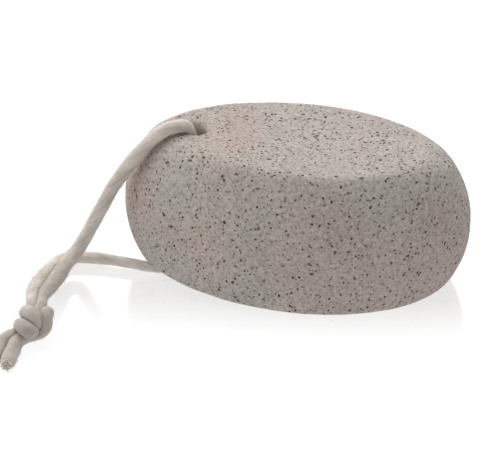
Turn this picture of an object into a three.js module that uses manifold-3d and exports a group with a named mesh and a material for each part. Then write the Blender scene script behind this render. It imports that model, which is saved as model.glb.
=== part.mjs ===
// A pumice foot stone with its hanging rope: an oval bar of pumice with one hole bored through it near an
// end, and a soft cotton rope threaded through the hole and tied to itself in a doubled overhand knot.
// Millimetres, +Z up, the stone's length along X. The origin is on the ground under the middle of the stone.
// The stone leans a little, because it lies on its own rope at the bored end.

import * as THREE from 'three';
import { mergeVertices } from 'three/addons/utils/BufferGeometryUtils.js';
import Module from 'manifold-3d';

const manifold = await Module();
manifold.setup();

// ---- the stone ----
const STONE_LENGTH = 100;
const STONE_WIDTH = 63;
const STONE_HEIGHT = 40;
const OUTLINE_POWER = 1.9; // 2 is an ellipse; a little less gives slightly leaner quarters
const WIDTH_TAPER = 0.05; // the plain end is a little fuller than the bored end
const GIRTH_LEVEL = 0.44 * STONE_HEIGHT; // height of the widest outline
const BELLY_POWER = 2.2; // how the sides round in above and below the girth
const TOP_INSET = { end: 9.5, side: 7.5 }; // how far the top face's edge stands in from the girth
const BASE_INSET = { end: 5.5, side: 0.5 };
const TOP_ROUNDING = { end: 4, side: 1 }; // the top edge is rubbed soft at the ends and stays crisp at the sides
const BASE_ROUNDING = { end: 2, side: 2 };
const STONE_TILT = THREE.MathUtils.degToRad(1.8);
const OUTLINE_STEPS = 96;
const EDGE_STEPS = 4;
const BELLY_STEPS = 9;

// ---- the hole ----
const HOLE_X = -30.7;
const HOLE_Y = -1;
const HOLE_RADIUS = 3.75;
const MOUTH_RADIUS = 5; // both mouths are worn open
const MOUTH_DEPTH = 1.8;
const HOLE_SIDES = 28;

// ---- the rope ----
const ROPE_DIAMETER = 3.8;
const ROPE_SIDES = 8;
const UPPER_STEPS = 34;
const LOWER_STEPS = 46;
const TAIL_STEPS = 4;
const PRESS_GAP = 0.6; // the pressed rope's clearance to the stone above it
const FLOOR_GAP = 0.1;

// The upper run: up out of the hole, over the bored end's shoulder, down through the air and along to the knot.
const UPPER_ROUTE = [
  [-30.6, -1.0, 22.6], [-30.5, -1.1, 29.0], [-30.2, -1.3, 35.5], [-30.5, -2.4, 40.2], [-31.7, -4.0, 43.9],
  [-33.9, -6.1, 44.7], [-36.5, -7.9, 44.4], [-39.2, -9.3, 42.7], [-41.9, -10.0, 40.0], [-44.4, -10.5, 36.8],
  [-47.0, -10.9, 33.3], [-49.6, -11.3, 29.3], [-52.2, -11.4, 24.8], [-55.1, -11.4, 18.7], [-58.1, -11.8, 12.8],
  [-60.2, -12.4, 8.4], [-61.9, -14.2, 5.8], [-63.5, -18.4, 4.5], [-64.1, -26.6, 4.6], [-64.3, -35.9, 6.0],
  [-63.6, -43.7, 7.8], [-62.7, -48.6, 8.8], [-62.3, -50.4, 8.6],
];

// The lower run: down out of the hole, pressed flat under the stone, along the ground and round to the knot.
const LOWER_ROUTE = [
  [-30.6, -1.0, 22.2], [-31.0, -1.2, 14.0], [-31.3, -1.6, 7.6], [-31.6, -2.5, 4.2], [-32.3, -4.6, 1.9],
  [-34.3, -8.0, 1.2], [-37.3, -10.3, 1.3], [-41.5, -11.0, 1.6], [-46.1, -10.6, 1.9], [-51.0, -10.0, 2.0],
  [-55.8, -9.6, 2.0], [-60.1, -9.6, 2.0], [-63.4, -10.1, 2.0], [-66.0, -12.2, 2.0], [-67.6, -16.4, 2.2],
  [-68.5, -23.8, 3.2], [-68.6, -32.6, 4.8], [-68.2, -40.0, 6.5], [-67.4, -45.4, 7.8], [-66.6, -48.8, 8.6],
];

const TAIL_ROUTES = {
  cord_tail_right: [[-67.6, -64.2, 2.5], [-67.6, -68.4, 2.2], [-67.3, -73.6, 2.1]],
  cord_tail_left: [[-71.4, -63.9, 2.5], [-71.6, -67.9, 2.2], [-71.4, -72.4, 2.1]],
};

// ---- the knot, as the plain outer shape of the tied rope ----
const KNOT_CENTRE = [-65.7, -57.2, 5.6];
const KNOT_TURN = THREE.MathUtils.degToRad(-19);
const KNOT_TILT = THREE.MathUtils.degToRad(30); // the rope comes down into the knot from behind
const KNOT_HALF_LENGTH = 6.7;
const KNOT_RADIUS = 5.3;
const KNOT_END_RADIUS = 4.2;
const KNOT_SIDES = 20;
const KNOT_STEPS = 8;

const PUMICE = new THREE.MeshStandardMaterial({ color: 0xa49a94, roughness: 0.95, metalness: 0 });
const COTTON = new THREE.MeshStandardMaterial({ color: 0xc4bbb0, roughness: 0.9, metalness: 0 });

// How far an edge rounded to a radius stands in, at a distance down from the face it borders.
function edgeInset(radius, toFace) {
  const intoEdge = Math.max(0, radius - toFace);
  return radius - Math.sqrt(Math.max(0, radius ** 2 - intoEdge ** 2));
}

// The half length and half width of the stone's outline at a height above its base.
function outlineAt(height) {
  const above = height > GIRTH_LEVEL;
  const inset = above ? TOP_INSET : BASE_INSET;
  const edge = above ? TOP_ROUNDING : BASE_ROUNDING;
  const span = above ? STONE_HEIGHT - GIRTH_LEVEL : GIRTH_LEVEL;
  const toFace = above ? STONE_HEIGHT - height : height;
  const rounding = (Math.abs(height - GIRTH_LEVEL) / span) ** BELLY_POWER;
  return {
    length: STONE_LENGTH / 2 - inset.end * rounding - edgeInset(edge.end, toFace),
    width: STONE_WIDTH / 2 - inset.side * rounding - edgeInset(edge.side, toFace),
  };
}

// A point of the outline, at an angle round the stone.
function outlinePoint(height, angle) {
  const half = outlineAt(height);
  const power = 2 / OUTLINE_POWER;
  const alongX = Math.sign(Math.cos(angle)) * Math.abs(Math.cos(angle)) ** power;
  const alongY = Math.sign(Math.sin(angle)) * Math.abs(Math.sin(angle)) ** power;
  return [half.length * alongX, half.width * alongY * (1 + WIDTH_TAPER * alongX), height];
}

// The heights of the stone's rings, close together where its two edges are rounded.
function ringHeights() {
  const heights = [];
  for (let i = 0; i <= EDGE_STEPS; i++) {
    heights.push(BASE_ROUNDING.end * (1 - Math.cos((Math.PI / 2) * (i / EDGE_STEPS))));
  }
  const bellyHeight = STONE_HEIGHT - TOP_ROUNDING.end - BASE_ROUNDING.end;
  for (let i = 1; i < BELLY_STEPS; i++) {
    heights.push(BASE_ROUNDING.end + (bellyHeight * i) / BELLY_STEPS);
  }
  for (let i = EDGE_STEPS; i >= 0; i--) {
    heights.push(STONE_HEIGHT - TOP_ROUNDING.end * (1 - Math.cos((Math.PI / 2) * (i / EDGE_STEPS))));
  }
  return heights;
}

function stoneBlank() {
  const rings = ringHeights();
  const positions = [];
  for (const height of rings) {
    for (let i = 0; i < OUTLINE_STEPS; i++) {
      positions.push(...outlinePoint(height, (2 * Math.PI * i) / OUTLINE_STEPS));
    }
  }
  const baseCentre = positions.length / 3;
  positions.push(0, 0, 0);
  const topCentre = baseCentre + 1;
  positions.push(0, 0, STONE_HEIGHT);

  const triangles = [];
  const lastRing = (rings.length - 1) * OUTLINE_STEPS;
  for (let i = 0; i < OUTLINE_STEPS; i++) {
    const next = (i + 1) % OUTLINE_STEPS;
    triangles.push(baseCentre, next, i);
    triangles.push(topCentre, lastRing + i, lastRing + next);
    for (let ring = 0; ring < lastRing; ring += OUTLINE_STEPS) {
      const above = ring + OUTLINE_STEPS;
      triangles.push(ring + i, ring + next, above + next);
      triangles.push(ring + i, above + next, above + i);
    }
  }
  const geometry = new THREE.BufferGeometry();
  geometry.setAttribute('position', new THREE.Float32BufferAttribute(positions, 3));
  geometry.setIndex(triangles);
  return geometry;
}

// The material that the bore takes away: a rod as wide as the hole, flared where it leaves each face.
function boreRod() {
  const reach = 5; // how far the rod stands out of each face
  const flare = MOUTH_RADIUS + (reach * (MOUTH_RADIUS - HOLE_RADIUS)) / MOUTH_DEPTH;
  const profile = [
    [0, -reach], [flare, -reach], [HOLE_RADIUS, MOUTH_DEPTH],
    [HOLE_RADIUS, STONE_HEIGHT - MOUTH_DEPTH], [flare, STONE_HEIGHT + reach], [0, STONE_HEIGHT + reach],
  ].map(([radius, height]) => new THREE.Vector2(radius, height));
  const geometry = new THREE.LatheGeometry(profile, HOLE_SIDES);
  geometry.rotateX(Math.PI / 2); // the lathe's own axis, Y, becomes Z
  return geometry.translate(HOLE_X, HOLE_Y, 0);
}

function toSolid(geometry) {
  const bare = geometry.clone();
  bare.deleteAttribute('normal');
  bare.deleteAttribute('uv');
  const merged = mergeVertices(bare, 1e-4);
  return new manifold.Manifold(new manifold.Mesh({
    numProp: 3,
    vertProperties: new Float32Array(merged.attributes.position.array),
    triVerts: new Uint32Array(merged.index.array),
  }));
}

function toGeometry(solid) {
  const mesh = solid.getMesh();
  const geometry = new THREE.BufferGeometry();
  geometry.setAttribute('position', new THREE.BufferAttribute(new Float32Array(mesh.vertProperties), 3));
  geometry.setIndex(new THREE.BufferAttribute(new Uint32Array(mesh.triVerts), 1));
  geometry.computeVertexNormals();
  return geometry;
}

// Where the stone lies: leaning on its rope, its lowest point on the ground and its middle over the origin.
function stoneSeat(blank) {
  const leaning = blank.clone().rotateY(STONE_TILT);
  leaning.computeBoundingBox();
  const { min, max } = leaning.boundingBox;
  const seat = new THREE.Group();
  seat.rotation.y = STONE_TILT;
  seat.position.set(-(min.x + max.x) / 2, -(min.y + max.y) / 2, -min.z);
  seat.updateMatrixWorld();
  return seat;
}

// A plain rope: a round section drawn along a smooth curve through the route's points.
function ropeAlong(route, steps) {
  const points = route.map(([x, y, z]) => new THREE.Vector3(x, y, z));
  const path = new THREE.CatmullRomCurve3(points, false, 'centripetal');
  const section = new THREE.Shape();
  for (let i = 0; i < ROPE_SIDES; i++) {
    const angle = (2 * Math.PI * (i + 0.5)) / ROPE_SIDES;
    const [x, y] = [(ROPE_DIAMETER / 2) * Math.cos(angle), (ROPE_DIAMETER / 2) * Math.sin(angle)];
    if (i === 0) section.moveTo(x, y);
    else section.lineTo(x, y);
  }
  section.closePath();
  return new THREE.ExtrudeGeometry(section, { steps, bevelEnabled: false, extrudePath: path });
}

// Whether a point of the stone's own frame stands within its outline at a height.
function isWithinOutline(point, height) {
  const half = outlineAt(height);
  const fullness = 1 + (WIDTH_TAPER * point.x) / half.length;
  return Math.abs(point.x / half.length) ** OUTLINE_POWER
    + Math.abs(point.y / (half.width * fullness)) ** OUTLINE_POWER < 1;
}

// The height of the stone's underside over a point, in the stone's own frame.
function undersideOver(point) {
  const step = 0.25;
  for (let height = 0; height < GIRTH_LEVEL; height += step) {
    if (isWithinOutline(point, height)) return height;
  }
  return Infinity;
}

// The stone's weight presses the rope flat: what would reach into the stone is moved down, or into the bore.
function pressUnderStone(geometry, seat) {
  const position = geometry.attributes.position;
  const point = new THREE.Vector3();
  for (let i = 0; i < position.count; i++) {
    seat.worldToLocal(point.fromBufferAttribute(position, i));
    const outward = Math.hypot(point.x - HOLE_X, point.y - HOLE_Y);
    const flare = Math.max(0, 1 - Math.max(0, point.z) / MOUTH_DEPTH) * (MOUTH_RADIUS - HOLE_RADIUS);
    const room = HOLE_RADIUS + flare - PRESS_GAP;
    if (outward > room && point.z > MOUTH_DEPTH && outward < 2 * HOLE_RADIUS) {
      point.x = HOLE_X + ((point.x - HOLE_X) * room) / outward;
      point.y = HOLE_Y + ((point.y - HOLE_Y) * room) / outward;
    } else if (outward > room) {
      point.z = Math.min(point.z, undersideOver(point) - PRESS_GAP);
    }
    seat.localToWorld(point);
    position.setXYZ(i, point.x, point.y, Math.max(point.z, FLOOR_GAP));
  }
  return geometry;
}

// The knot's outer shape: a round barrel along the rope, flat at both ends where the strands meet it.
function knotBarrel() {
  const profile = [new THREE.Vector2(0, -KNOT_HALF_LENGTH)];
  for (let i = 0; i <= KNOT_STEPS; i++) {
    const along = -1 + (2 * i) / KNOT_STEPS;
    const radius = KNOT_END_RADIUS + (KNOT_RADIUS - KNOT_END_RADIUS) * Math.sqrt(1 - along ** 2);
    profile.push(new THREE.Vector2(radius, along * KNOT_HALF_LENGTH));
  }
  profile.push(new THREE.Vector2(0, KNOT_HALF_LENGTH));
  return new THREE.LatheGeometry(profile, KNOT_SIDES);
}

// Flattens on the ground what would reach below it.
function restOnGround(geometry) {
  const position = geometry.attributes.position;
  for (let i = 0; i < position.count; i++) {
    position.setZ(i, Math.max(position.getZ(i), FLOOR_GAP));
  }
  return geometry;
}

function piece(name, geometry, material) {
  const mesh = new THREE.Mesh(geometry, material.clone());
  mesh.name = name;
  return mesh;
}

function buildStone(blank) {
  const bored = toSolid(blank).subtract(toSolid(boreRod()));
  return piece('stone', toGeometry(bored), PUMICE);
}

function buildRope(seat) {
  const rope = new THREE.Group();
  rope.add(piece('cord_upper_run', ropeAlong(UPPER_ROUTE, UPPER_STEPS), COTTON));
  rope.add(piece('cord_lower_run', pressUnderStone(ropeAlong(LOWER_ROUTE, LOWER_STEPS), seat), COTTON));
  const knot = knotBarrel().rotateX(KNOT_TILT).rotateZ(KNOT_TURN).translate(...KNOT_CENTRE);
  rope.add(piece('cord_knot', restOnGround(knot), COTTON));
  for (const [name, route] of Object.entries(TAIL_ROUTES)) {
    rope.add(piece(name, ropeAlong(route, TAIL_STEPS), COTTON));
  }
  return rope;
}

const blank = stoneBlank();
const seat = stoneSeat(blank);
seat.add(buildStone(blank));
const pumiceStone = new THREE.Group();
pumiceStone.add(seat, buildRope(seat));

export default pumiceStone;
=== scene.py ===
"""A pumice foot stone on its hanging rope.

The stone is an oval bar of pumice, full of small open pores, with one hole bored through it near an
end. A soft three-ply cotton rope is threaded through the hole and tied to itself in a doubled overhand
knot with two short tails. The stone leans a little, because it lies on its own rope at the bored end.
Metres, +Z up, the stone's length along X. The origin is on the ground under the middle of the stone.
"""

import math

import bpy
import numpy as np
from bpy.props import FloatProperty, FloatVectorProperty, IntProperty, PointerProperty
from mathutils import Matrix, Vector
from mathutils.bvhtree import BVHTree


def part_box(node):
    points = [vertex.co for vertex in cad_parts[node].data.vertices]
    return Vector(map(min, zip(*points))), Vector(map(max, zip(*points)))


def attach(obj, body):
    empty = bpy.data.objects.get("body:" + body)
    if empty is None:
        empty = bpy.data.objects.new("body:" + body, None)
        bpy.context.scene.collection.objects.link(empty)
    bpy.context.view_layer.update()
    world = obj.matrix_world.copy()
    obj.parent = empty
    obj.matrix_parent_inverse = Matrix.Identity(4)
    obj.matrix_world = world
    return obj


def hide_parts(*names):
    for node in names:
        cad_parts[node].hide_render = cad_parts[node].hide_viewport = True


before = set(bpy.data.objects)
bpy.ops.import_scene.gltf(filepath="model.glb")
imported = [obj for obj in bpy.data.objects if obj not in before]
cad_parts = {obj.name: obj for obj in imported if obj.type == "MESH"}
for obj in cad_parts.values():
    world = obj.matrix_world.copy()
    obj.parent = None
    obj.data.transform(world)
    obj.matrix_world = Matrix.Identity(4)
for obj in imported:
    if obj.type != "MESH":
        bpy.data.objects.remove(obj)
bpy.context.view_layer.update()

bl_info = {
    "name": "Pumice Stone on a Rope",
    "version": (1, 0, 0),
    "blender": (4, 5, 0),
    "location": "View3D > Sidebar > Pumice",
    "description": "Makes an oval pumice stone with open pores, and its knotted cotton rope",
    "category": "Add Mesh",
}

MM = 0.001
BODY = "root"

# ---- the stone's shape, in its own upright frame, standing on its base ----
STONE_LENGTH = 100 * MM
STONE_WIDTH = 63 * MM
STONE_HEIGHT = 40 * MM
OUTLINE_POWER = 1.9
WIDTH_TAPER = 0.05
GIRTH_SHARE = 0.44
BELLY_POWER = 2.2
TOP_END_INSET = 9.5 * MM
TOP_SIDE_INSET = 7.5 * MM
BASE_END_INSET = 5.5 * MM
BASE_SIDE_INSET = 0.5 * MM
TOP_END_ROUNDING = 4 * MM
TOP_SIDE_ROUNDING = 1 * MM
BASE_ROUNDING = 2 * MM
STONE_TILT = math.radians(1.8)

HOLE_X = -30.7 * MM
HOLE_Y = -1 * MM
HOLE_RADIUS = 3.75 * MM
MOUTH_RADIUS = 5 * MM
MOUTH_DEPTH = 1.8 * MM

# Families of pores: (name, roundness, shapes, least and most radius, skew towards the least). Each shape is
# (depth, how far sunk, painted shade: how far its wall's colour goes to the dark pore colour, standing in for
# the shade deep in a pore). A family with no roundness is cut as small five-sided cups.
PORE_FAMILIES = [
    ("Craters", 2, [(0.9, 0.3, 0.8), (0.7, 0.1, 0.6), (1.1, 0.5, 1.0)], 0.42 * MM, 0.66 * MM, 1.6),
    ("Pits", 1, [(0.9, 0.3, 0.8), (0.7, 0.1, 0.6), (1.2, 0.4, 1.0)], 0.32 * MM, 0.54 * MM, 1.4),
    (
        "Cups", 0, [(0.55, 0, 0.65), (0.4, 0, 0.5), (0.8, 0, 0.95), (0.35, 0, 0.5)],
        0.27 * MM, 0.52 * MM, 1.3,
    ),
]
GREY_TINT = (0.955, 1.0, 0.99)
PINK_TINT = (1.0, 0.945, 0.93)
PORE_RIM_ANGLE = math.radians(38)

# ---- the rope's two routes: millimetres, and the rope's share of its full thickness there. Its solids follow
# the same points, but for the last few before the knot, where they keep clear of each other. ----
UPPER_ROUTE = [
    (-30.6, -1.0, 22.6, 0.95), (-30.5, -1.1, 29.0, 0.95), (-30.2, -1.3, 35.5, 0.95),
    (-30.5, -2.4, 40.2, 0.95), (-31.7, -4.0, 43.9, 1.02), (-33.9, -6.1, 44.7, 1.02),
    (-36.5, -7.9, 44.4, 1.02), (-39.2, -9.3, 42.7, 1.02), (-41.9, -10.0, 40.0, 1.02),
    (-44.4, -10.5, 36.8, 1.02), (-47.0, -10.9, 33.3, 1.02), (-49.6, -11.3, 29.3, 1.02),
    (-52.2, -11.4, 24.8, 1.02), (-55.1, -11.4, 18.7, 1.02), (-58.1, -11.8, 12.8, 1.02),
    (-60.2, -12.4, 8.4, 1.03), (-61.9, -14.2, 5.8, 1.05), (-63.5, -18.4, 4.5, 1.08),
    (-64.1, -26.6, 4.6, 1.16), (-64.3, -35.9, 6.0, 1.18), (-64.3, -43.7, 7.6, 1.04),
    (-63.7, -48.8, 8.5, 0.90),
]
LOWER_ROUTE = [
    (-30.6, -1.0, 22.2, 0.90), (-31.0, -1.2, 14.0, 0.90), (-31.3, -1.6, 7.6, 0.90),
    (-31.6, -2.5, 4.2, 0.90), (-32.3, -4.6, 1.9, 0.90), (-34.3, -8.0, 1.2, 0.78),
    (-37.3, -10.3, 1.3, 0.78), (-41.5, -11.0, 1.6, 0.78), (-46.1, -10.6, 1.9, 0.78),
    (-51.0, -10.0, 2.0, 0.82), (-55.8, -9.6, 2.0, 0.86), (-60.1, -9.6, 2.0, 0.90),
    (-63.4, -10.1, 2.0, 0.95), (-66.0, -12.2, 2.0, 1.00), (-67.6, -16.4, 2.2, 1.05),
    (-68.5, -23.8, 3.2, 1.08), (-68.6, -32.6, 4.8, 1.10), (-67.9, -40.0, 6.5, 1.08),
    (-66.9, -45.4, 7.8, 1.00), (-66.2, -49.2, 8.6, 0.92),
]
RIGHT_TAIL = [
    (-67.6, -64.2, 2.5, 1.12), (-67.6, -68.4, 2.2, 1.16), (-67.3, -73.6, 2.1, 1.12),
]
LEFT_TAIL = [
    (-71.4, -63.9, 2.5, 1.12), (-71.6, -67.9, 2.2, 1.16), (-71.4, -72.4, 2.1, 1.12),
]

# ---- each strand's way through the knot: millimetres along it, to its right and up, and the share ----
KNOT_CENTRE = (-65.7, -57.2, 5.6)
KNOT_TURN = math.radians(-19)
KNOT_TILT = math.radians(30)  # the rope comes down into the knot from behind
UPPER_IN_KNOT = [
    (-6.4, 1.4, 0.2, 0.88), (-4.0, 1.3, -0.2, 0.88), (-1.6, 0.8, -0.6, 0.90), (0.4, 1.2, -1.2, 0.95),
    (1.6, 2.6, -0.8, 1.05), (2.2, 3.0, 0.8, 1.12), (2.3, 1.6, 2.6, 1.18), (1.9, -0.4, 2.9, 1.18),
    (1.2, -1.4, 1.2, 1.10), (0.6, -1.6, -1.2, 1.00), (0.0, -0.4, -2.8, 0.90), (0.8, 0.8, -3.2, 0.90),
    (2.2, 0.4, -2.0, 0.95), (3.8, -1.6, -0.4, 1.05), (6.0, -3.4, 0.0, 1.12),
]
LOWER_IN_KNOT = [
    (-6.4, -1.5, 0.2, 0.90), (-4.2, -1.3, -0.6, 0.90), (-1.8, -0.6, -1.6, 0.90), (-0.6, 1.4, -2.2, 0.92),
    (-0.3, 2.2, -1.3, 0.95), (-0.9, 3.1, 0.6, 1.00), (-1.6, 2.9, 2.6, 1.05), (-1.8, 1.6, 3.5, 1.08),
    (-2.9, -0.1, 3.0, 1.05), (-3.3, -1.2, 0.8, 1.00), (-3.6, -1.2, -1.8, 0.95), (-4.2, 0.6, -3.6, 0.90),
    (-5.4, 2.4, -2.8, 0.92), (-5.9, 3.3, -0.6, 0.95), (-5.2, 3.5, 1.0, 1.00), (-3.6, 4.5, 1.0, 1.02),
    (-2.1, 4.7, 0.2, 1.02), (-1.0, 3.6, -1.2, 0.98), (0.4, 1.6, -1.9, 0.92), (2.4, 0.4, -1.4, 0.95),
    (4.0, -0.6, -0.8, 1.02), (6.0, -0.9, 0.0, 1.10),
]
KNOT_GAP = 2.4  # how close two strands' middles come where the knot squeezes them
KNOT_ROUNDS = 20
KNOT_NEAR = 1.6  # a strand's points within this many gaps along it don't push each other
KNOT_PUSH = 0.35  # the share of an overlap taken away in each round
KNOT_SMOOTHING = 0.3  # how far a point moves towards the middle of its neighbours in each round

ROPE_DIAMETER = 3.8 * MM
ROPE_SIDES = 66
RING_STEP = 0.33  # millimetres between the rope's rings
PLY_PITCH = 32.0
PLY_OFFSET = 0.10  # how far a ply's middle stands from the rope's, as a share of the rope's radius
YARNS = 16
YARN_PITCH = 7.0
YARN_HEIGHT = 0.03
WANDER = 0.03  # how unevenly thick the rope is
WANDER_STEP = 4
OPENED_SHARE = 1.04  # a share from which the rope is slack and its grooves begin to close
PRESS_NEAR = 2.2  # a strand doesn't press on itself within this many thicknesses along it
PRESS_REACH = 4.2  # strands whose middles are closer than this may press on each other
PRESS_GAP = 0.03
STONE_GAP = 0.08 * MM
STONE_SIDE = -52  # left of here, in millimetres along X, the rope is clear of the stone
# Painted shade on each strand: how far its colour is darkened where the light leaves it in shade, as
# (millimetres along it, share of painted shade).
UPPER_PAINTED_SHADE = [
    (20, 0.12), (33, 0.15), (45, 0.4), (55, 0.45), (68, 0.25), (80, 0.5), (86, 0.8), (110, 0.9),
    (118, 0.6), (140, 0.7), (146, 0.75), (152, 0.6),
]
LOWER_PAINTED_SHADE = [
    (20, 0.15), (60, 0.1), (75, 0.5), (82, 0.45), (98, 0.45), (106, 0.6), (116, 0.65), (140, 0.7),
    (146, 0.75), (152, 0.6),
]
# the colour that the painted shade multiplies the cotton by
PAINTED_SHADE_TINT = (0.5, 0.485, 0.47)
FRAYED_YARNS = 44
YARN_THICKNESS = 0.5
YARN_ROOT = 1.6  # how deep inside the strand's end a frayed yarn starts
YARN_REACH = (0.2, 1.3)  # how far past it, at the least and at the most
WORN_END = 2.2  # the length over which a cut end narrows
WORN_SHARE = 0.45
FIBRE_THICKNESS = 0.03 * MM
FLOOR_GAP = 0.05

FLOOR_SIZE = 6.0
POLISH_END = -41 * MM  # how far in front of the stone's middle the floor's polish ends
POLISH_FADE = 22 * MM
POLISH_SLANT = 0.16
POLISH_DIMMING = 0.21  # how much less the floor lights itself where it is polished
CAMERA_LENS = 187.27
CAMERA_DISTANCE = 734.64 * MM
CAMERA_AIM = (-11.11, -14.68, 20.0)
CAMERA_TURN = (9.149, 27.5, 0.842)  # degrees round, up and rolled


# ---- property groups: what a user would change ----
def size_property(name, description, default, low=0.0):
    return FloatProperty(
        name=name, description=description, default=default, min=low, unit="LENGTH", precision=5
    )


def colour_property(name, description, default):
    return FloatVectorProperty(
        name=name, description=description, default=default, size=3, min=0.0, max=1.0, subtype="COLOR"
    )


class PumiceStoneSettings(bpy.types.PropertyGroup):
    length: size_property("Length", "Length of the stone along X", STONE_LENGTH)
    width: size_property("Width", "Width of the stone along Y", STONE_WIDTH)
    height: size_property("Height", "Height of the stone from base to top", STONE_HEIGHT)
    hole_radius: size_property("Hole Radius", "Radius of the bored hole", HOLE_RADIUS)
    lump: size_property("Lumps", "How far the worn surface swells and dips", 0.22 * MM)
    crater_density: FloatProperty(
        name="Craters", description="Large pores for each square metre", default=6000, min=0
    )
    pit_density: FloatProperty(
        name="Pits", description="Middle-sized pores for each square metre", default=60000, min=0
    )
    cup_density: FloatProperty(
        name="Cups", description="Small pores for each square metre", default=235000, min=0
    )
    seed: IntProperty(name="Seed", description="Seed of the pores' places", default=7, min=0)
    colour: colour_property("Colour", "Colour of the rubbed surface", (0.42, 0.37, 0.342))
    # painted shade: the dark colour that stands in for the shade deep inside the pores
    pore_wall_shade_colour: colour_property("Pore Colour", "Colour deep inside the pores", (0.33, 0.24, 0.21))


class CottonRopeSettings(bpy.types.PropertyGroup):
    fibre_density: FloatProperty(
        name="Fibres", description="Loose fibres for each square metre of rope", default=3100000, min=0
    )
    fibre_length: size_property("Fibre Length", "Length of a loose fibre", 1 * MM)
    colour: colour_property("Colour", "Colour of the cotton", (0.73, 0.668, 0.602))
    # painted shade: the darker colour put into the grooves between the plies
    groove_shade_colour: colour_property("Groove Colour", "Colour between the plies", (0.36, 0.30, 0.245))


class PumiceStageSettings(bpy.types.PropertyGroup):
    floor_colour: colour_property("Floor", "Colour of the floor", (0.12, 0.12, 0.12))
    floor_glow: FloatProperty(
        name="Floor Glow", description="How far the floor lights itself", default=0.8, min=0
    )
    fill: FloatProperty(name="Fill", description="Strength of the light from the front", default=0.39, min=0)
    backdrop: FloatProperty(
        name="Backdrop", description="Strength of the light from behind", default=1.35, min=0
    )
    softbox: FloatProperty(name="Softbox", description="Power of the overhead softbox", default=10.5, min=0)


# ---- node trees ----
def connect(tree, value, socket):
    """Joins a wire or an output to an input, or sets the input to a plain value."""
    if isinstance(value, Wire):
        tree.links.new(value.socket, socket)
    elif isinstance(value, bpy.types.NodeSocket):
        tree.links.new(value, socket)
    else:
        socket.default_value = value


class Wire:
    """A number in a node tree, so that a formula of nodes reads as a formula."""

    def __init__(self, tree, socket):
        self.tree = tree
        self.socket = socket

    def math(self, operation, *others):
        node = self.tree.nodes.new("ShaderNodeMath")
        node.operation = operation
        for value, socket in zip((self, *others), node.inputs):
            connect(self.tree, value, socket)
        return Wire(self.tree, node.outputs[0])

    def __add__(self, other):
        return self.math("ADD", other)

    def __sub__(self, other):
        return self.math("SUBTRACT", other)

    def __rsub__(self, other):
        return (self * -1) + other

    def __mul__(self, other):
        return self.math("MULTIPLY", other)

    def __truediv__(self, other):
        return self.math("DIVIDE", other)

    def __pow__(self, other):
        return self.math("POWER", other)

    def size(self):
        return self.math("ABSOLUTE")

    def at_least(self, other):
        return self.math("MAXIMUM", other)

    def at_most(self, other):
        return self.math("MINIMUM", other)


class Bench:
    """A node tree in the making: its named inputs, its nodes and the wires between them."""

    def __init__(self, tree):
        self.tree = tree

    def add(self, kind, settings=None, **inputs):
        """A new node. Settings are the node's own; inputs are matched by name, with _ for a space."""
        node = self.tree.nodes.new(kind)
        for name, value in (settings or {}).items():
            setattr(node, name, value)
        for name, value in inputs.items():
            socket = next(s for s in node.inputs if s.enabled and s.name == name.replace("_", " "))
            connect(self.tree, value, socket)
        return node

    def number(self, kind, output, settings=None, **inputs):
        return Wire(self.tree, self.add(kind, settings, **inputs).outputs[output])

    def parts_of(self, vector):
        separate = self.add("ShaderNodeSeparateXYZ", Vector=vector)
        return [Wire(self.tree, socket) for socket in separate.outputs]

    def vector(self, x, y, z):
        return self.add("ShaderNodeCombineXYZ", X=x, Y=y, Z=z).outputs[0]


class GeometryBench(Bench):
    """A Geometry Nodes tree with its geometry input, its named inputs and its output."""

    def __init__(self, name):
        super().__init__(bpy.data.node_groups.new(name, "GeometryNodeTree"))
        self.tree.interface.new_socket("Geometry", in_out="INPUT", socket_type="NodeSocketGeometry")
        self.tree.interface.new_socket("Geometry", in_out="OUTPUT", socket_type="NodeSocketGeometry")
        self.given = self.tree.nodes.new("NodeGroupInput")
        self.result = self.tree.nodes.new("NodeGroupOutput")

    def input(self, name, default, kind="NodeSocketFloat"):
        socket = self.tree.interface.new_socket(name, in_out="INPUT", socket_type=kind)
        if default is not None:
            socket.default_value = default
        return Wire(self.tree, self.given.outputs[name])

    def geometry(self):
        return self.given.outputs["Geometry"]

    def random(self, low, high, seed):
        node = self.add("FunctionNodeRandomValue", Min=low, Max=high, Seed=seed)
        return Wire(self.tree, node.outputs[1])

    def finish(self, geometry, material=None):
        """Ends the tree in Realize Instances and, for one material all over, Set Material."""
        solid = self.add("GeometryNodeRealizeInstances", Geometry=geometry)
        if material is not None:
            solid = self.add("GeometryNodeSetMaterial", Geometry=solid.outputs[0], Material=material)
        self.tree.links.new(solid.outputs[0], self.result.inputs[0])
        return self.tree


def run_tree(piece, tree, values):
    """Runs a tree on a piece and keeps the result as the piece's plain mesh."""
    modifier = piece.modifiers.new(tree.name, "NODES")
    modifier.node_group = tree
    for item in tree.interface.items_tree:
        if item.in_out == "INPUT" and item.name in values:
            modifier[item.identifier] = values[item.name]
    bpy.context.view_layer.update()
    evaluated = piece.evaluated_get(bpy.context.evaluated_depsgraph_get())
    made = bpy.data.meshes.new_from_object(evaluated)
    piece.modifiers.remove(modifier)
    old = piece.data
    made.name = piece.name
    piece.data = made
    bpy.data.meshes.remove(old)


def new_piece(name, mesh=None):
    piece = bpy.data.objects.new(name, mesh or bpy.data.meshes.new(name))
    bpy.context.scene.collection.objects.link(piece)
    return piece


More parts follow.
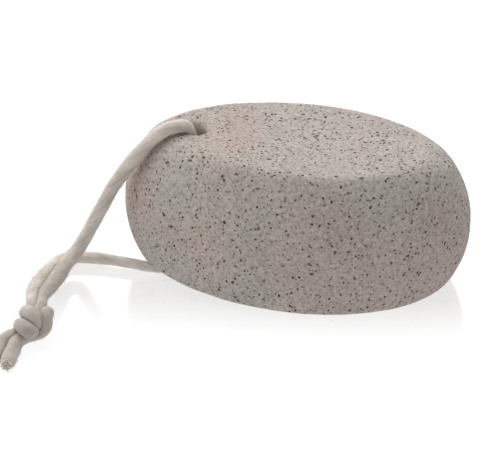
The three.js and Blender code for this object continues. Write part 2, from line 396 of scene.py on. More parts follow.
# ---- the stone's trees ----
def stone_blank_tree(material):
    """An oval bar with barrel-rounded sides and two flat faces, wrapped on a sphere's rings, then bored."""
    bench = GeometryBench("Pumice Blank")
    length = bench.input("Length", STONE_LENGTH)
    width = bench.input("Width", STONE_WIDTH)
    height = bench.input("Height", STONE_HEIGHT)
    hole_radius = bench.input("Hole Radius", HOLE_RADIUS)
    lump = bench.input("Lumps", 0.2 * MM)

    side_share = 0.42  # the share of the sphere's rings that go to the side; the rest make the flat faces
    ball = bench.add("GeometryNodeMeshUVSphere", Segments=96, Rings=58, Radius=1.0)
    x, y, z = bench.parts_of(bench.add("GeometryNodeInputPosition").outputs[0])
    latitude = z.at_most(1).at_least(-1).math("ARCSINE") / (math.pi / 2)
    up_the_side = ((latitude / side_share + 1) / 2).at_least(0).at_most(1)
    level = height * (1 - (up_the_side * math.pi).math("COSINE")) / 2
    across_the_face = ((1 - latitude.size()) / (1 - side_share)).at_most(1)

    girth = height * GIRTH_SHARE
    above = level.math("GREATER_THAN", girth)
    span = girth + above * (height - girth * 2)
    rounding = ((level - girth).size() / span) ** BELLY_POWER
    to_face = level + above * (height - level * 2)
    halves = []
    for whole, top_inset, base_inset, top_rounding in (
        (length, TOP_END_INSET, BASE_END_INSET, TOP_END_ROUNDING),
        (width, TOP_SIDE_INSET, BASE_SIDE_INSET, TOP_SIDE_ROUNDING),
    ):
        inset = above * (top_inset - base_inset) + base_inset
        edge_radius = above * (top_rounding - BASE_ROUNDING) + BASE_ROUNDING
        into_edge = (edge_radius - to_face).at_least(0)
        edge = edge_radius - (edge_radius * edge_radius - into_edge * into_edge).at_least(0).math("SQRT")
        halves.append(whole / 2 - inset * rounding - edge)
    half_length, half_width = halves

    ring = (x * x + y * y).math("SQRT")
    leaned = []
    for part in (x, y):
        share = part / ring
        leaned.append(share.math("SIGN") * share.size() ** (2 / OUTLINE_POWER))
    along, across = leaned
    place = bench.vector(
        half_length * along * across_the_face,
        half_width * across * (along * WIDTH_TAPER + 1) * across_the_face,
        level,
    )
    shaped = bench.add("GeometryNodeSetPosition", Geometry=ball.outputs[0], Position=place)

    swell = bench.number("ShaderNodeTexNoise", "Fac", Scale=85.0, Detail=2.0)
    dimple = bench.number("ShaderNodeTexNoise", "Fac", Scale=420.0, Detail=1.0)
    push = (swell - 0.5) * 2 * lump + (dimple - 0.5) * lump
    outward = bench.add("GeometryNodeInputNormal").outputs[0]
    offset = bench.add("ShaderNodeVectorMath", {"operation": "SCALE"}, Vector=outward, Scale=push)
    worn = bench.add("GeometryNodeSetPosition", Geometry=shaped.outputs[0], Offset=offset.outputs[0])

    reach = 2 * MM
    rod = bench.add(
        "GeometryNodeMeshCylinder", Vertices=56, Side_Segments=76, Radius=hole_radius,
        Depth=height + 2 * reach,
    )
    rod_x, rod_y, rod_z = bench.parts_of(bench.add("GeometryNodeInputPosition").outputs[0])
    into_mouth = (1 - (height / 2 - rod_z.size()) / MOUTH_DEPTH).at_least(0)
    rough = bench.number("ShaderNodeTexNoise", "Fac", Scale=300.0, Detail=2.0)
    flare = into_mouth * into_mouth * (MOUTH_RADIUS - HOLE_RADIUS) + (rough - 0.5) * 0.5 * MM
    wider = flare / hole_radius + 1
    flared = bench.add(
        "GeometryNodeSetPosition", Geometry=rod.outputs[0],
        Position=bench.vector(rod_x * wider, rod_y * wider, rod_z),
    )
    placed = bench.add(
        "GeometryNodeTransform", Geometry=flared.outputs[0],
        Translation=bench.vector(HOLE_X, HOLE_Y, height / 2),
    )
    bored = bench.add("GeometryNodeMeshBoolean", {"operation": "DIFFERENCE", "solver": "MANIFOLD"})
    bench.tree.links.new(worn.outputs[0], bored.inputs[0])
    bench.tree.links.new(placed.outputs[0], bored.inputs[1])
    return bench.finish(bored.outputs[0], material)


def pore_cutters(bench, host, name, detail, shapes, low, high, skew, seed):
    """One family of pores: irregular hollows of a few shapes, strewn over the surface."""
    density = bench.input(name, 100000.0)
    crowd = bench.number("ShaderNodeTexNoise", "Fac", Scale=130.0, Detail=1.0)
    x, y, _ = bench.parts_of(bench.add("GeometryNodeInputPosition").outputs[0])
    from_hole = ((x - HOLE_X) ** 2 + (y - HOLE_Y) ** 2).math("SQRT")
    points = bench.add(
        "GeometryNodeDistributePointsOnFaces", Mesh=host, Density=density * (crowd * 1.6 + 0.2), Seed=seed,
        Selection=from_hole.math("GREATER_THAN", MOUTH_RADIUS),
    )
    bag = bench.add("GeometryNodeJoinGeometry")
    for number, (depth, sink, shade) in enumerate(shapes):
        if detail:
            ball = bench.add("GeometryNodeMeshIcoSphere", Radius=1.0, Subdivisions=detail)
            uneven = bench.number(
                "ShaderNodeTexNoise", "Fac", {"noise_dimensions": "4D"}, W=number * 3.7, Scale=0.9, Detail=1.0
            )
            where = bench.add("GeometryNodeInputPosition").outputs[0]
            place = bench.add(
                "ShaderNodeVectorMath", {"operation": "SCALE"}, Vector=where, Scale=uneven * 1.1 + 0.45
            )
            lumpy = bench.add("GeometryNodeSetPosition", Geometry=ball.outputs[0], Position=place.outputs[0])
            sunk = bench.add(
                "GeometryNodeTransform", Geometry=lumpy.outputs[0], Scale=(1.0, 1.0, depth),
                Translation=(0.0, 0.0, -sink),
            )
        else:
            cup = bench.add(
                "GeometryNodeMeshCone", Vertices=5, Side_Segments=1, Fill_Segments=1, Radius_Top=1.1,
                Radius_Bottom=0.45, Depth=depth + 0.5,
            )
            sunk = bench.add("GeometryNodeTransform", Geometry=cup.outputs[0], Translation=(0.0, 0.0, -depth))
        # each pore's wall is marked with its share of painted shade
        marked = bench.add(
            "GeometryNodeStoreNamedAttribute", {"data_type": "FLOAT", "domain": "FACE"},
            Geometry=sunk.outputs[0], Name="painted_pore_shade", Value=shade,
        )
        single = bench.add("GeometryNodeGeometryToInstance", Geometry=marked.outputs[0])
        bench.tree.links.new(single.outputs[0], bag.inputs[0])
    radius = bench.random(0.0, 1.0, seed + 1) ** skew * (high - low) + low
    stretch = bench.random(0.78, 1.28, seed + 2)
    pores = bench.add(
        "GeometryNodeInstanceOnPoints", Points=points.outputs["Points"], Instance=bag.outputs[0],
        Pick_Instance=True, Rotation=points.outputs["Rotation"],
        Scale=bench.vector(radius * stretch, radius / stretch, radius),
    )
    spin = bench.vector(0.0, 0.0, bench.random(0.0, 2 * math.pi, seed + 3))
    return bench.add("GeometryNodeRotateInstances", Instances=pores.outputs[0], Rotation=spin).outputs[0]


def pores_tree(material):
    """Cuts three sizes of open pores into the bored stone, and marks each pore's wall with how much painted
    shade it gets.
    """
    bench = GeometryBench("Pumice Pores")
    seed = bench.input("Seed", 7, "NodeSocketInt")
    host = bench.geometry()
    cut = bench.add("GeometryNodeMeshBoolean", {"operation": "DIFFERENCE", "solver": "MANIFOLD"})
    bench.tree.links.new(host, cut.inputs[0])
    for number, family in enumerate(PORE_FAMILIES):
        cutters = pore_cutters(bench, host, *family, seed + 10 * number)
        bench.tree.links.new(cutters, cut.inputs[1])
    smooth = bench.add("GeometryNodeSetShadeSmooth", {"domain": "FACE"}, Geometry=cut.outputs[0])
    bend = bench.number("GeometryNodeInputMeshEdgeAngle", "Unsigned Angle")
    crisp = bench.add(
        "GeometryNodeSetShadeSmooth", {"domain": "EDGE"}, Geometry=smooth.outputs[0],
        Selection=bend.math("GREATER_THAN", PORE_RIM_ANGLE), Shade_Smooth=False,
    )
    return bench.finish(crisp.outputs[0], material)


# ---- materials ----
def new_material(name):
    material = bpy.data.materials.new(name)
    material.use_nodes = True
    bench = Bench(material.node_tree)
    return material, bench, material.node_tree.nodes["Principled BSDF"]


def shaded(colour, share):
    """A colour made lighter or darker."""
    return tuple(min(1.0, part * share) for part in colour)


def blend(bench, share, first, second):
    """Mixes two colours, each a plain one or another mix."""
    node = bench.add("ShaderNodeMix", {"data_type": "RGBA"})
    connect(bench.tree, share, node.inputs[0])
    for value, socket in ((first, node.inputs[6]), (second, node.inputs[7])):
        connect(bench.tree, (*value, 1) if isinstance(value, tuple) else value, socket)
    return node.outputs[2]


def multiplied(bench, first, second):
    """One mix of colours darkened by another."""
    node = bench.add("ShaderNodeMix", {"data_type": "RGBA", "blend_type": "MULTIPLY"})
    node.inputs[0].default_value = 1
    connect(bench.tree, first, node.inputs[6])
    connect(bench.tree, second, node.inputs[7])
    return node.outputs[2]


def painted_shaded(bench, colour):
    """The colour of a strand darkened by painted shade, where the light leaves it in shade."""
    painted_shade = bench.number("ShaderNodeAttribute", "Fac", {"attribute_name": "painted_shade"})
    return multiplied(bench, colour, blend(bench, painted_shade, (1.0, 1.0, 1.0), PAINTED_SHADE_TINT))


def set_shader(shader, **values):
    for name, value in values.items():
        shader.inputs[name.replace("_", " ")].default_value = value


def pumice_material(settings):
    """Rubbed volcanic glass foam: a matt, grainy, mottled grey, with painted shade in the pores: dark
    brown-grey on their walls and on small pricked dots.
    """
    material, bench, shader = new_material("pumice")
    place = bench.add("ShaderNodeTexCoord").outputs["Object"]
    mottle = bench.number("ShaderNodeTexNoise", "Fac", Vector=place, Scale=60.0, Detail=2.0)
    grain = bench.number("ShaderNodeTexNoise", "Fac", Vector=place, Scale=1050.0, Detail=3.0, Roughness=0.7)
    face = tuple(settings.colour)
    tone = (mottle - 0.5) * 0.5 + (grain - 0.5) * 3.1 + 0.5
    warmth = bench.number("ShaderNodeTexNoise", "Fac", Vector=place, Scale=38.0, Detail=1.0)
    tint = blend(bench, ((warmth - 0.5) * 4 + 0.5).at_least(0).at_most(1), GREY_TINT, PINK_TINT)
    plain = blend(bench, tone.at_least(0).at_most(1), shaded(face, 0.74), shaded(face, 1.24))
    ground = multiplied(bench, plain, tint)
    cells = bench.add("ShaderNodeTexVoronoi", Vector=place, Scale=1250.0)
    luck = bench.parts_of(cells.outputs["Color"])[0]
    # painted shade: small pinhole dots, also dented by the bump, darkened towards the pore colour
    prick = ((luck * 0.5 - 0.06 - cells.outputs["Distance"]) * 7).at_least(0).at_most(1)
    pinhole_shaded = blend(bench, prick * 0.75, ground, tuple(settings.pore_wall_shade_colour))
    # painted shade on the pores' walls, as much as each is marked with
    shade = bench.number("ShaderNodeAttribute", "Fac", {"attribute_name": "painted_pore_shade"})
    pored = blend(bench, shade.at_most(1), pinhole_shaded, tuple(settings.pore_wall_shade_colour))
    bench.tree.links.new(pored, shader.inputs["Base Color"])
    bump = bench.add("ShaderNodeBump", Strength=0.7, Distance=0.15 * MM, Height=grain - prick * 0.6)
    bench.tree.links.new(bump.outputs[0], shader.inputs["Normal"])
    set_shader(shader, Roughness=0.95, Specular_IOR_Level=0.2)
    return material


def cotton_material(settings):
    """Soft undyed cotton: fine fibres along each ply, painted shade in the grooves between the plies, a soft
    sheen.
    """
    material, bench, shader = new_material("cotton_rope")
    laid = bench.add("ShaderNodeAttribute", {"attribute_name": "laid_straight"}).outputs["Vector"]
    groove = bench.number("ShaderNodeAttribute", "Fac", {"attribute_name": "groove"})
    stretched = bench.add("ShaderNodeMapping", Vector=laid, Scale=(5200.0, 5200.0, 420.0))
    fibres = bench.number("ShaderNodeTexNoise", "Fac", Vector=stretched.outputs[0], Scale=1.0, Detail=3.0)
    patches = bench.number("ShaderNodeTexNoise", "Fac", Vector=laid, Scale=260.0, Detail=2.0)
    tone = (fibres - 0.5) * 2.6 + (patches - 0.5) * 1.4 + 0.5
    body = tuple(settings.colour)
    yarn = blend(bench, tone.at_least(0).at_most(1), shaded(body, 0.8), shaded(body, 1.15))
    # painted shade: darker towards the bottom of each groove between the plies
    colour = blend(bench, (groove * 0.4).at_most(1), yarn, tuple(settings.groove_shade_colour))
    # the cotton's colour with the strand's painted shade on it
    bench.tree.links.new(painted_shaded(bench, colour), shader.inputs["Base Color"])
    bump = bench.add("ShaderNodeBump", Strength=0.5, Distance=0.1 * MM, Height=fibres)
    bench.tree.links.new(bump.outputs[0], shader.inputs["Normal"])
    set_shader(shader, Roughness=0.92, Specular_IOR_Level=0.25, Sheen_Weight=0.25, Sheen_Roughness=0.6)
    return material


def fibre_material(settings):
    """Single cotton fibres, a little lighter than the rope they stand on."""
    material, bench, shader = new_material("cotton_fibre")
    place = bench.add("ShaderNodeTexCoord").outputs["Object"]
    uneven = bench.number("ShaderNodeTexNoise", "Fac", Vector=place, Scale=700.0)
    body = tuple(settings.colour)
    colour = blend(bench, uneven, body, shaded(body, 1.2))
    # the fibres take on the painted shade of the strand they stand on
    bench.tree.links.new(painted_shaded(bench, colour), shader.inputs["Base Color"])
    set_shader(shader, Roughness=0.9, Specular_IOR_Level=0.25, Sheen_Weight=0.25)
    return material


def floor_material(settings):
    """The studio's pale floor: lit from below, and polished, but dull a little way in front of the stone."""
    material, bench, shader = new_material("studio_floor")
    x, y, z = bench.parts_of(bench.add("ShaderNodeTexCoord").outputs["Object"])
    polish = ((y - x * POLISH_SLANT - POLISH_END) / POLISH_FADE).at_least(0).at_most(1)
    connect(bench.tree, polish, shader.inputs["Specular IOR Level"])
    glow = polish * -POLISH_DIMMING + (settings.floor_glow + 0.1)
    connect(bench.tree, glow, shader.inputs["Emission Strength"])
    set_shader(
        shader, Base_Color=(*settings.floor_colour, 1), Roughness=0.12, IOR=1.9, Emission_Color=(1, 1, 1, 1)
    )
    return material


# ---- the rope's lines ----
def through(points, steps=10):
    """A smooth line through a route's points: a centripetal Catmull-Rom curve."""
    points = np.array(points, float)
    padded = np.vstack([2 * points[0] - points[1], points, 2 * points[-1] - points[-2]])
    line = []
    for p0, p1, p2, p3 in zip(padded, padded[1:], padded[2:], padded[3:]):
        t1 = math.sqrt(np.linalg.norm(p1 - p0))
        t2 = t1 + math.sqrt(np.linalg.norm(p2 - p1))
        t3 = t2 + math.sqrt(np.linalg.norm(p3 - p2))
        for t in np.linspace(t1, t2, steps, endpoint=False):
            a1 = (t1 - t) / t1 * p0 + t / t1 * p1
            a2 = (t2 - t) / (t2 - t1) * p1 + (t - t1) / (t2 - t1) * p2
            a3 = (t3 - t) / (t3 - t2) * p2 + (t - t2) / (t3 - t2) * p3
            b1 = (t2 - t) / t2 * a1 + t / t2 * a2
            b2 = (t3 - t) / (t3 - t1) * a2 + (t - t1) / (t3 - t1) * a3
            line.append((t2 - t) / (t2 - t1) * b1 + (t - t1) / (t2 - t1) * b2)
    line.append(points[-1])
    return np.array(line)


def evenly(line, step):
    """The same line with its points evenly spaced, about a step apart."""
    reach = np.concatenate([[0], np.cumsum(np.linalg.norm(np.diff(line, axis=0), axis=1))])
    count = max(2, round(reach[-1] / step) + 1)
    marks = np.linspace(0, reach[-1], count)
    return np.stack([np.interp(marks, reach, column) for column in line.T], axis=1)


def knot_points(strand):
    """A strand's way through the knot, turned from the knot's own directions to the frame's."""
    turn, tilt = KNOT_TURN, KNOT_TILT
    along = np.array([math.sin(turn) * math.cos(tilt), -math.cos(turn) * math.cos(tilt), -math.sin(tilt)])
    right = np.array([math.cos(turn), math.sin(turn), 0])
    up = np.cross(along, right)
    return [
        (*(np.array(KNOT_CENTRE) + along * ahead + right * aside + up * above), share)
        for ahead, aside, above, share in strand
    ]


def settle(lines, first, last):
    """Lets the strands find their places in the knot, so that none sinks far into another."""
    step = np.linalg.norm(np.diff(lines[0], axis=0), axis=1).mean()
    near_along = int(KNOT_GAP * KNOT_NEAR / step)
    lines = [line.copy() for line in lines]
    for _ in range(KNOT_ROUNDS):
        inside = [line[first[k]:last[k]] for k, line in enumerate(lines)]
        every = np.vstack(inside)
        strand = np.concatenate([np.full(len(part), k) for k, part in enumerate(inside)])
        number = np.concatenate([np.arange(len(part)) for part in inside])
        apart = every[:, None] - every[None]
        distance = np.linalg.norm(apart, axis=2)
        touching = (distance < KNOT_GAP) & (
            (strand[:, None] != strand[None]) | (np.abs(number[:, None] - number[None]) > near_along)
        )
        push = np.where(touching, (KNOT_GAP - distance) / np.maximum(distance, 1e-6), 0)
        every += (apart * push[..., None]).sum(1) / np.maximum(touching.sum(1), 1)[:, None] * KNOT_PUSH
        every[:, 2] = np.maximum(every[:, 2], KNOT_GAP / 2)
        begin = 0
        for k, line in enumerate(lines):
            count = last[k] - first[k]
            line[first[k]:last[k]] = every[begin:begin + count]
            begin += count
            middle = (line[:-2] + line[2:]) / 2 - line[1:-1]
            line[first[k]:last[k]] += KNOT_SMOOTHING * middle[first[k] - 1:last[k] - 1]
    return lines


def rope_lines():
    """The two strands' middle lines, from where they meet in the hole to their cut tails, with each one's
    share of the full thickness and how far it is inside the knot at every point."""
    lines, shares, first, last = [], [], [], []
    for route, in_knot, tail in (
        (UPPER_ROUTE, UPPER_IN_KNOT, LEFT_TAIL),
        (LOWER_ROUTE, LOWER_IN_KNOT, RIGHT_TAIL),
    ):
        stations = evenly(through([*route, *knot_points(in_knot), *tail]), 0.8)
        line = stations[:, :3]
        first.append(int(np.linalg.norm(line - np.array(route[-2][:3]), axis=1).argmin()))
        last.append(int(np.linalg.norm(line - np.array(tail[0][:3]), axis=1).argmin()))
        lines.append(line)
        shares.append(stations[:, 3])
    made = []
    for line, share, start, end in zip(settle(lines, first, last), shares, first, last):
        fine = evenly(through(line[::2], 6), RING_STEP)
        place = np.linspace(0, len(line) - 1, len(fine))
        inside = np.clip((place - start) / 6, 0, 1) * np.clip((end - place) / 6, 0, 1)
        made.append((fine, np.interp(place, np.arange(len(line)), share), inside))
    return made


# ---- the rope's surface ----
def ring_frames(line):
    """Two directions across the line at each of its points, carried along without twisting."""
    along = np.gradient(line, axis=0)
    along /= np.linalg.norm(along, axis=1)[:, None]
    side = np.cross(along[0], (1.0, 0.0, 0.0))
    sides = []
    for direction in along:
        side = side - direction * (side @ direction)
        side = side / np.linalg.norm(side)
        sides.append(side)
    sides = np.array(sides)
    return sides, np.cross(along, sides)


def ply_outline(angle, radius, offset):
    """The outline of three soft plies round the rope's middle, and how deep in a groove it is there."""
    folded = (angle + math.pi / 3) % (2 * math.pi / 3) - math.pi / 3
    outline = offset * np.cos(folded) + np.sqrt((radius - offset) ** 2 - (offset * np.sin(folded)) ** 2)
    return outline, (np.abs(folded) / (math.pi / 3)) ** 4


def strand_surface(line, share, inside, others, stone, rng):
    """The strand's skin: plies, yarns and the places where it is pressed flat against what it touches."""
    reach = np.arange(len(line)) * RING_STEP
    side, up = ring_frames(line)
    angle, reach_grid = np.meshgrid(np.linspace(0, 2 * math.pi, ROPE_SIDES, endpoint=False), reach)
    laid = angle - 2 * math.pi * reach_grid / PLY_PITCH
    marks = np.arange(0, reach[-1] + 2 * WANDER_STEP, WANDER_STEP)
    wander = np.interp(reach, marks, rng.normal(0, WANDER, len(marks)))
    narrowing = 1 - WORN_SHARE * np.clip(1 - (reach[-1] - reach) / WORN_END, 0, 1) ** 2
    radius = ROPE_DIAMETER / MM / 2 * (share * (1 + wander) * narrowing)[:, None]
    opened = np.maximum(inside, np.clip((share - OPENED_SHARE) / 0.1, 0, 1))[:, None]
    outline, groove = ply_outline(laid, radius, PLY_OFFSET * radius * (1 - 0.6 * opened))
    groove = groove * (1 - 0.6 * opened)
    yarns = np.cos(YARNS * laid + 2 * math.pi * reach_grid / YARN_PITCH * 3)
    outline = outline + YARN_HEIGHT * yarns * (1 - groove)
    around = np.cos(angle)[..., None] * side[:, None] + np.sin(angle)[..., None] * up[:, None]
    points = line[:, None] + outline[..., None] * around
    points = rest_against(press(points, line, others), stone)
    straight = np.stack([outline * np.cos(laid), outline * np.sin(laid), reach_grid], axis=2)
    return points, straight, groove


def press(points, line, others):
    """Flattens the skin where another strand's skin would cross it, half way between their middles."""
    step_gap = int(PRESS_NEAR * ROPE_DIAMETER / MM / RING_STEP)
    index = np.arange(len(line))
    rivals = np.vstack([line[::2], *[other[::2] for other in others]])
    own = np.concatenate([index[::2], *[np.full(len(other[::2]), -10**6) for other in others]])
    for ring in index:
        far = np.linalg.norm(rivals - line[ring], axis=1)
        close = rivals[(far < PRESS_REACH) & (np.abs(own - ring) > step_gap)]
        if not len(close):
            continue
        between = (close + line[ring]) / 2
        normal = close - line[ring]
        normal /= np.linalg.norm(normal, axis=1)[:, None]
        for _ in range(2):
            over = ((points[ring][:, None] - between[None]) * normal[None]).sum(2) + PRESS_GAP
            worst = over.argmax(1)
            depth = np.maximum(over.max(1), 0)
            points[ring] -= depth[:, None] * normal[worst]
    return points


def rest_against(points, stone):
    """Keeps the skin out of the stone and above the ground."""
    shape = points.shape
    flat = points.reshape(-1, 3)
    for number, point in enumerate(flat):
        if point[0] > STONE_SIDE:
            place, normal, _, distance = stone.find_nearest(Vector(point) * MM, 3 * MM)
            if place is not None:
                gap = (Vector(point) * MM - place).dot(normal)
                if gap < STONE_GAP:
                    flat[number] = np.array(place + normal * STONE_GAP) / MM
    flat[:, 2] = np.maximum(flat[:, 2], FLOOR_GAP)
    return flat.reshape(shape)


def frayed_yarns(line, radius, rng):
    """The cut end's yarns, come apart: short bent tubes, each as the places and radii of its rings."""
    end, along = line[-1], line[-1] - line[-8]
    along /= np.linalg.norm(along)
    side = np.cross(along, (0, 0, 1))
    side /= np.linalg.norm(side)
    up = np.cross(side, along)
    yarns = []
    for _ in range(FRAYED_YARNS):
        out, turn = radius * 0.55 * math.sqrt(rng.random()), rng.random() * 2 * math.pi
        splay = rng.normal(0, 0.2, 2) + 0.15 * out * np.array([math.cos(turn), math.sin(turn)])
        reach = rng.uniform(*YARN_REACH)
        stations = []
        for share in np.linspace(0, 1, 6):
            ahead = -YARN_ROOT + share * (YARN_ROOT + reach)
            across = out * np.array([math.cos(turn), math.sin(turn)]) + splay * max(0, ahead + 1) ** 1.3
            place = end + along * ahead + side * across[0] + up * across[1]
            stations.append((*place, YARN_THICKNESS / 2 * (1 - 0.5 * share)))
        yarns.append(np.array(stations))
    return yarns


def yarn_tube(stations, sides=6):
    """A closed little tube through the stations, each with a radius: its places, and its faces' corners."""
    line = stations[:, :3]
    side, up = ring_frames(line)
    turn = np.linspace(0, 2 * math.pi, sides, endpoint=False)
    rings = line[:, None] + stations[:, 3, None, None] * (
        np.cos(turn)[:, None] * side[:, None] + np.sin(turn)[:, None] * up[:, None]
    )
    rings[..., 2] = np.maximum(rings[..., 2], FLOOR_GAP)
    return tube_parts(rings)


def tube_parts(rings):
    """The vertices and outward faces of a closed tube through rings of points."""
    count, sides = rings.shape[:2]
    vertices = np.vstack([rings.reshape(-1, 3), rings[0].mean(0), rings[-1].mean(0)])
    faces = []
    for ring in range(count - 1):
        for corner in range(sides):
            following = (corner + 1) % sides
            a, b = ring * sides + corner, ring * sides + following
            faces.append((a, b, b + sides, a + sides))
    tip = (count - 1) * sides
    for corner in range(sides):
        following = (corner + 1) % sides
        faces.append((len(vertices) - 2, following, corner))
        faces.append((len(vertices) - 1, tip + corner, tip + following))
    return vertices, faces


def strand_mesh(name, points, straight, groove, painted_shade, yarns):
    """The strand as one mesh: its skin, closed at both ends, and the frayed yarns of its cut end."""
    vertices, faces = tube_parts(points)
    laid = np.vstack([straight.reshape(-1, 3), straight[0].mean(0), straight[-1].mean(0)])
    # how deep in a groove each point is, which the material turns into painted shade; the end caps get half
    depth = np.concatenate([groove.ravel(), [0.5, 0.5]])
    # painted shade at each point of the skin; the frayed yarns get none
    painted_shade = np.concatenate([np.repeat(painted_shade, points.shape[1]), painted_shade[[0, -1]]])
    for stations in yarns:
        places, corners = yarn_tube(stations)
        faces += [tuple(len(vertices) + corner for corner in face) for face in corners]
        vertices = np.vstack([vertices, places])
        laid = np.vstack([laid, (places - stations[0, :3])[:, [0, 2, 1]]])
        depth = np.concatenate([depth, np.full(len(places), 0.0)])
        painted_shade = np.concatenate([painted_shade, np.zeros(len(places))])
    mesh = bpy.data.meshes.new(name)
    mesh.from_pydata((vertices * MM).tolist(), [], faces)
    mesh.polygons.foreach_set("use_smooth", [True] * len(mesh.polygons))
    attribute = mesh.attributes.new("laid_straight", "FLOAT_VECTOR", "POINT")
    attribute.data.foreach_set("vector", (laid * MM).astype(np.float32).ravel())
    for label, values in (("groove", depth), ("painted_shade", painted_shade)):
        attribute = mesh.attributes.new(label, "FLOAT", "POINT")
        attribute.data.foreach_set("value", values.astype(np.float32))
    mesh.validate()
    return mesh


def fibres_tree(material):
    """Loose fibres standing off the rope: thin curved hairs, joined as one mesh."""
    bench = GeometryBench("Cotton Fibres")
    density = bench.input("Density", 100000.0)
    length = bench.input("Length", 1 * MM)
    thickness = bench.input("Thickness", FIBRE_THICKNESS)
    seed = bench.input("Seed", 3, "NodeSocketInt")
    points = bench.add(
        "GeometryNodeDistributePointsOnFaces", Mesh=bench.geometry(), Density=density, Seed=seed
    )
    bag = bench.add("GeometryNodeJoinGeometry")
    for curl in (0.25, 0.6, 1.0):
        line = bench.add("GeometryNodeCurvePrimitiveLine", End=(0.0, 0.0, 1.0))
        stepped = bench.add("GeometryNodeResampleCurve", Curve=line.outputs[0], Count=5)
        x, y, z = bench.parts_of(bench.add("GeometryNodeInputPosition").outputs[0])
        bent = bench.add(
            "GeometryNodeSetPosition", Geometry=stepped.outputs[0],
            Position=bench.vector(z * z * curl, (z * 5).math("SINE") * 0.12 * curl, z * (1 - 0.3 * curl)),
        )
        section = bench.add("GeometryNodeCurvePrimitiveCircle", Resolution=3, Radius=thickness / length / 2)
        hair = bench.add(
            "GeometryNodeCurveToMesh", Curve=bent.outputs[0], Profile_Curve=section.outputs[0],
            Fill_Caps=True,
        )
        single = bench.add("GeometryNodeGeometryToInstance", Geometry=hair.outputs[0])
        bench.tree.links.new(single.outputs[0], bag.inputs[0])
    size = length * (bench.random(0.0, 1.0, seed + 1) ** 1.5 * 1.1 + 0.3)
    hairs = bench.add(
        "GeometryNodeInstanceOnPoints", Points=points.outputs["Points"], Instance=bag.outputs[0],
        Pick_Instance=True, Rotation=points.outputs["Rotation"], Scale=bench.vector(size, size, size),
    )
    spin = bench.vector(0.0, 0.0, bench.random(0.0, 2 * math.pi, seed + 2))
    spun = bench.add("GeometryNodeRotateInstances", Instances=hairs.outputs[0], Rotation=spin)
    lean = bench.vector(0.0, bench.random(0.5, 1.35, seed + 3), 0.0)
    leaned = bench.add("GeometryNodeRotateInstances", Instances=spun.outputs[0], Rotation=lean)
    solid = bench.add("GeometryNodeRealizeInstances", Geometry=leaned.outputs[0])
    x, y, z = bench.parts_of(bench.add("GeometryNodeInputPosition").outputs[0])
    grounded = bench.add(
        "GeometryNodeSetPosition", Geometry=solid.outputs[0],
        Position=bench.vector(x, y, z.at_least(FIBRE_THICKNESS)),
    )
    return bench.finish(grounded.outputs[0], material)


# ---- the stone before its pores ----
def shape_blank(piece, material, settings):
    """Shapes the bored stone without its pores, leans it on its rope and stands it in its place."""
    run_tree(piece, stone_blank_tree(material), {
        "Length": settings.length, "Width": settings.width, "Height": settings.height,
        "Hole Radius": settings.hole_radius, "Lumps": settings.lump,
    })
    mesh = piece.data
    mesh.transform(Matrix.Rotation(STONE_TILT, 4, "Y"))
    low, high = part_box("stone")
    places = np.array([vertex.co for vertex in mesh.vertices])
    middle = (places.min(0) + places.max(0)) / 2
    target = (low + high) / 2
    lift = low.z - places[:, 2].min()
    mesh.transform(Matrix.Translation((target.x - middle[0], target.y - middle[1], lift)))


def stone_skin(settings):
    """The stone's skin without its pores, for the rope to lie against."""
    blank = new_piece("blank")
    shape_blank(blank, None, settings)
    skin = BVHTree.FromPolygons(
        [vertex.co.copy() for vertex in blank.data.vertices],
        [tuple(face.vertices) for face in blank.data.polygons],
    )
    bpy.data.objects.remove(blank)
    return skin


# ---- operators ----
class MakeStage(bpy.types.Operator):
    """Set the camera, the soft studio light and the pale floor"""

    bl_idname = "pumice.make_stage"
    bl_label = "Stage"

    def execute(self, context):
        settings = context.scene.pumice_stage
        camera = bpy.data.objects.new("camera", bpy.data.cameras.new("camera"))
        context.scene.collection.objects.link(camera)
        camera.data.lens = CAMERA_LENS
        camera.data.sensor_width = 36
        camera.data.clip_start = 0.05
        camera.data.clip_end = 20
        azimuth, elevation, roll = map(math.radians, CAMERA_TURN)
        level = math.cos(elevation)
        back = Vector((math.sin(azimuth) * level, -math.cos(azimuth) * level, math.sin(elevation)))
        aim = Vector(CAMERA_AIM) * MM
        turn = (-back).to_track_quat("-Z", "Y").to_matrix() @ Matrix.Rotation(roll, 3, "Z")
        camera.matrix_world = Matrix.Translation(aim + back * CAMERA_DISTANCE) @ turn.to_4x4()
        context.scene.camera = camera

        floor = new_piece("studio_floor")
        half = FLOOR_SIZE / 2
        corners = [(-half, -half, 0), (half, -half, 0), (half, half, 0), (-half, half, 0)]
        floor.data.from_pydata(corners, [], [(0, 1, 2, 3)])
        floor.data.materials.append(floor_material(settings))

        world = bpy.data.worlds.new("studio")
        world.use_nodes = True
        bench = Bench(world.node_tree)
        x, y, z = bench.parts_of(bench.add("ShaderNodeTexCoord").outputs["Generated"])
        # brightest behind the stone and on its left
        behind = (y * 0.8 - x * 0.7 + 0.4).at_least(0).at_most(1)
        background = world.node_tree.nodes["Background"]
        background.inputs["Color"].default_value = (1, 1, 1, 1)
        connect(world.node_tree, behind * (settings.backdrop - settings.fill) + settings.fill,
                background.inputs["Strength"])
        context.scene.world = world
        context.scene.view_settings.view_transform = "Standard"

        self.add_softbox("softbox_above", settings.softbox, 1.3, (-0.25, 0.35, 1.25), (0, 0, 0))
        return {"FINISHED"}

    def add_softbox(self, name, power, size, place, aim):
        light = bpy.data.lights.new(name, "AREA")
        light.energy = power
        light.size = size
        lamp = bpy.data.objects.new(name, light)
        bpy.context.scene.collection.objects.link(lamp)
        turn = (Vector(aim) - Vector(place)).to_track_quat("-Z", "Y").to_matrix()
        lamp.matrix_world = Matrix.Translation(place) @ turn.to_4x4()


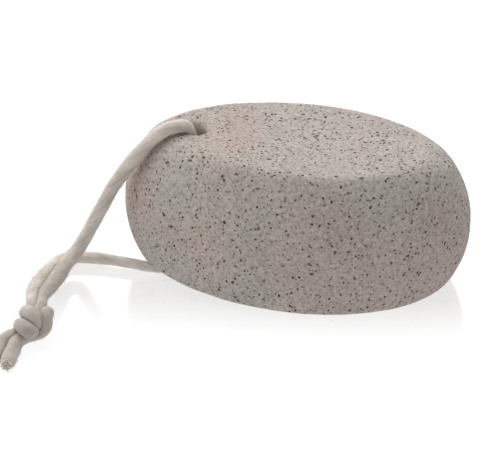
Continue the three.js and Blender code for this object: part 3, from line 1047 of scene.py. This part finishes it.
class MakePumiceStone(bpy.types.Operator):
    """Shape the stone, bore its hole and open its pores"""

    bl_idname = "pumice.make_stone"
    bl_label = "Pumice Stone"

    def execute(self, context):
        settings = context.scene.pumice_stone
        material = pumice_material(settings)
        stone = new_piece("pumice_stone")
        shape_blank(stone, material, settings)
        run_tree(stone, pores_tree(material), {
            "Craters": settings.crater_density, "Pits": settings.pit_density,
            "Cups": settings.cup_density, "Seed": settings.seed,
        })
        if not len(stone.data.polygons):
            raise RuntimeError("the pores took the whole stone away")
        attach(stone, BODY)
        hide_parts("stone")
        return {"FINISHED"}


class MakeCottonRope(bpy.types.Operator):
    """Thread the rope through the stone, tie its knot and raise its loose fibres"""

    bl_idname = "pumice.make_rope"
    bl_label = "Cotton Rope"

    def execute(self, context):
        settings = context.scene.pumice_rope
        rng = np.random.default_rng(11)
        skin = stone_skin(context.scene.pumice_stone)
        made = rope_lines()
        cotton = cotton_material(settings)
        tree = fibres_tree(fibre_material(settings))
        strands = (
            (
                "rope_upper_strand", ("cord_upper_run", "cord_knot", "cord_tail_left"),
                STONE_HEIGHT, UPPER_PAINTED_SHADE,
            ),
            ("rope_lower_strand", ("cord_lower_run", "cord_tail_right"), 0, LOWER_PAINTED_SHADE),
        )
        for number, (name, nodes, mouth_level, painted_shade_marks) in enumerate(strands):
            line, share, inside = made[number]
            surface = strand_surface(line, share, inside, [made[1 - number][0]], skin, rng)
            yarns = frayed_yarns(line, ROPE_DIAMETER / MM / 2 * share[-1], rng)
            # painted shade along the strand, from its table
            painted_shade = np.interp(np.arange(len(line)) * RING_STEP, *zip(*painted_shade_marks))
            strand = new_piece(name, strand_mesh(name, *surface, painted_shade, yarns))
            strand.data.materials.append(cotton)
            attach(strand, BODY)
            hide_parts(*nodes)
            fluffy = new_piece(name + "_fibres", strand.data.copy())
            run_tree(fluffy, tree, {
                "Density": settings.fibre_density, "Length": settings.fibre_length,
                "Thickness": FIBRE_THICKNESS, "Seed": 5 + number,
            })
            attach(fluffy, BODY)
        return {"FINISHED"}


class PumicePanel(bpy.types.Panel):
    """Lists the makers of the stone's pieces and their settings"""

    bl_idname = "VIEW3D_PT_pumice_stone"
    bl_label = "Pumice Stone"
    bl_space_type = "VIEW_3D"
    bl_region_type = "UI"
    bl_category = "Pumice"

    def draw(self, context):
        for maker, settings in MAKERS:
            box = self.layout.box()
            box.operator(maker.bl_idname)
            group = getattr(context.scene, settings)
            for name in group.__annotations__:
                box.prop(group, name)


MAKERS = (
    (MakeStage, "pumice_stage"),
    (MakePumiceStone, "pumice_stone"),
    (MakeCottonRope, "pumice_rope"),
)
SETTINGS = {
    "pumice_stage": PumiceStageSettings,
    "pumice_stone": PumiceStoneSettings,
    "pumice_rope": CottonRopeSettings,
}
CLASSES = (*SETTINGS.values(), *[maker for maker, _ in MAKERS], PumicePanel)


def register():
    for kind in CLASSES:
        bpy.utils.register_class(kind)
    for name, kind in SETTINGS.items():
        setattr(bpy.types.Scene, name, PointerProperty(type=kind))


def unregister():
    for name in SETTINGS:
        delattr(bpy.types.Scene, name)
    for kind in reversed(CLASSES):
        bpy.utils.unregister_class(kind)


def main():
    register()
    bpy.ops.pumice.make_stage()
    bpy.ops.pumice.make_stone()
    bpy.ops.pumice.make_rope()


if __name__ == "__main__":
    main()
